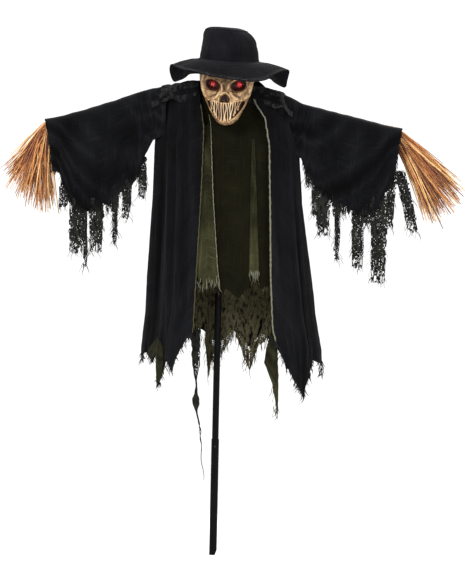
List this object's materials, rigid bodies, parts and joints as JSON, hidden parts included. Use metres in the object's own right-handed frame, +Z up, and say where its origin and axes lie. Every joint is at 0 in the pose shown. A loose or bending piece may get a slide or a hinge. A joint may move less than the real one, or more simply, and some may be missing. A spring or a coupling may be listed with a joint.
{
  "type": "light-up scarecrow on a ground pole",
  "caption": "Outdoor scarecrow figure with a skull-like face, soft hat, ragged coat and straw hands on a ground pole.",
  "frame": {"origin": "centre of the pole's lower end, which is pushed into the ground", "axes": "+Z up the pole, +X to the viewer's right with the figure facing the viewer, -Y towards the viewer"},
  "size_m": [1.3256, 0.3289, 1.5248],
  "materials": {
    "pole_coat": "satin powder coat",
    "spring_steel": "bare",
    "button_steel": "bright plated",
    "bracket_plastic": "moulded",
    "straw": "dry raffia",
    "twine": "twisted",
    "coat_cloth": "coarse open weave",
    "shoulder_net": "crinkled net",
    "tunic_cloth": "woven",
    "lapel_cloth": "woven",
    "tunic_net": "open net",
    "sleeve_net": "speckled net",
    "hat_felt": "felt",
    "bone_plastic": "painted",
    "socket_plastic": "painted",
    "eye_red": "clear tinted",
    "led_red": "clear",
    "wire_black": "insulation",
    "box_plastic": "moulded",
    "cell_wrap": "wrapped",
    "contact_steel": "plated",
    "board_green": "solder mask",
    "switch_plastic": "moulded"
  },
  "bodies": {
    "pole_base": {"lower_pole": "pole_coat", "middle_pole": "pole_coat", "snap_spring": "spring_steel"},
    "snap_button": {"snap_button": "button_steel"},
    "upper_pole": {"upper_pole": "pole_coat"},
    "torso": {"shoulder_cross": "bracket_plastic", "neck_post": "pole_coat", "coat_back": "coat_cloth", "coat_left_front": "coat_cloth", "coat_right_front": "coat_cloth", "coat_collar": "coat_cloth", "left_coat_yoke": "coat_cloth", "right_coat_yoke": "coat_cloth", "left_shoulder_gauze": "shoulder_net", "right_shoulder_gauze": "shoulder_net", "tunic_front": "tunic_cloth", "left_lapel": "lapel_cloth", "tunic_gauze": "tunic_net", "left_sleeve": "coat_cloth", "right_sleeve": "coat_cloth", "left_sleeve_rags": "sleeve_net", "right_sleeve_rags": "sleeve_net", "left_hem_rags": "coat_cloth", "right_hem_rags": "coat_cloth", "long_rag": "tunic_net"},
    "head": {"face_shell": "bone_plastic", "head_back_shell": "bone_plastic", "head_mount": "bracket_plastic", "left_eye_cup": "socket_plastic", "right_eye_cup": "socket_plastic", "left_eye_lens": "eye_red", "right_eye_lens": "eye_red", "left_led": "led_red", "right_led": "led_red", "left_led_wire": "wire_black", "right_led_wire": "wire_black", "battery_box": "box_plastic", "batteries": "cell_wrap", "contact_springs": "contact_steel", "contact_plates": "contact_steel", "circuit_board": "board_green"},
    "hat": {"hat_crown": "hat_felt", "hat_brim": "hat_felt"},
    "battery_cover": {"battery_cover": "box_plastic"},
    "switch_slider": {"switch_slider": "switch_plastic"},
    "left_arm": {"left_arm_tube": "pole_coat", "left_arm_plug": "bracket_plastic", "left_straw_hand": "straw", "left_hand_tie": "twine"},
    "right_arm": {"right_arm_tube": "pole_coat", "right_arm_plug": "bracket_plastic", "right_straw_hand": "straw", "right_hand_tie": "twine"}
  },
  "joints": [
    {"name": "snap_press", "type": "slide", "parent": "pole_base", "child": "snap_button", "axis": [0, 1, 0], "range_m": [0, 0.0044], "stiffness_N_per_m": 900, "springref_m": -0.003, "deforming": ["snap_spring"]},
    {"name": "pole_swivel", "type": "hinge", "parent": "pole_base", "child": "upper_pole", "pos_m": [0, 0, 0.84], "axis": [0, 0, 1], "continuous": true},
    {"name": "torso_lift", "type": "slide", "parent": "upper_pole", "child": "torso", "axis": [0, 0, 1], "range_m": [0, 0.04]},
    {"name": "left_arm_pull", "type": "slide", "parent": "torso", "child": "left_arm", "axis": [-0.9724, 0, -0.2334], "range_m": [0, 0.04]},
    {"name": "right_arm_pull", "type": "slide", "parent": "torso", "child": "right_arm", "axis": [0.9724, 0, -0.2334], "range_m": [0, 0.04]},
    {"name": "head_turn", "type": "hinge", "parent": "torso", "child": "head", "pos_m": [0, 0, 1.4], "axis": [0, 0, 1], "range_deg": [-15, 15]},
    {"name": "hat_lift", "type": "slide", "parent": "head", "child": "hat", "axis": [0, -0.1392, 0.9903], "range_m": [0, 0.12]},
    {"name": "battery_cover_slide", "type": "slide", "parent": "head", "child": "battery_cover", "axis": [0, 0.1392, -0.9903], "range_m": [0, 0.03]},
    {"name": "switch_slide", "type": "slide", "parent": "head", "child": "switch_slider", "axis": [0.9962, -0.0863, -0.0121], "range_m": [0, 0.004]}
  ]
}
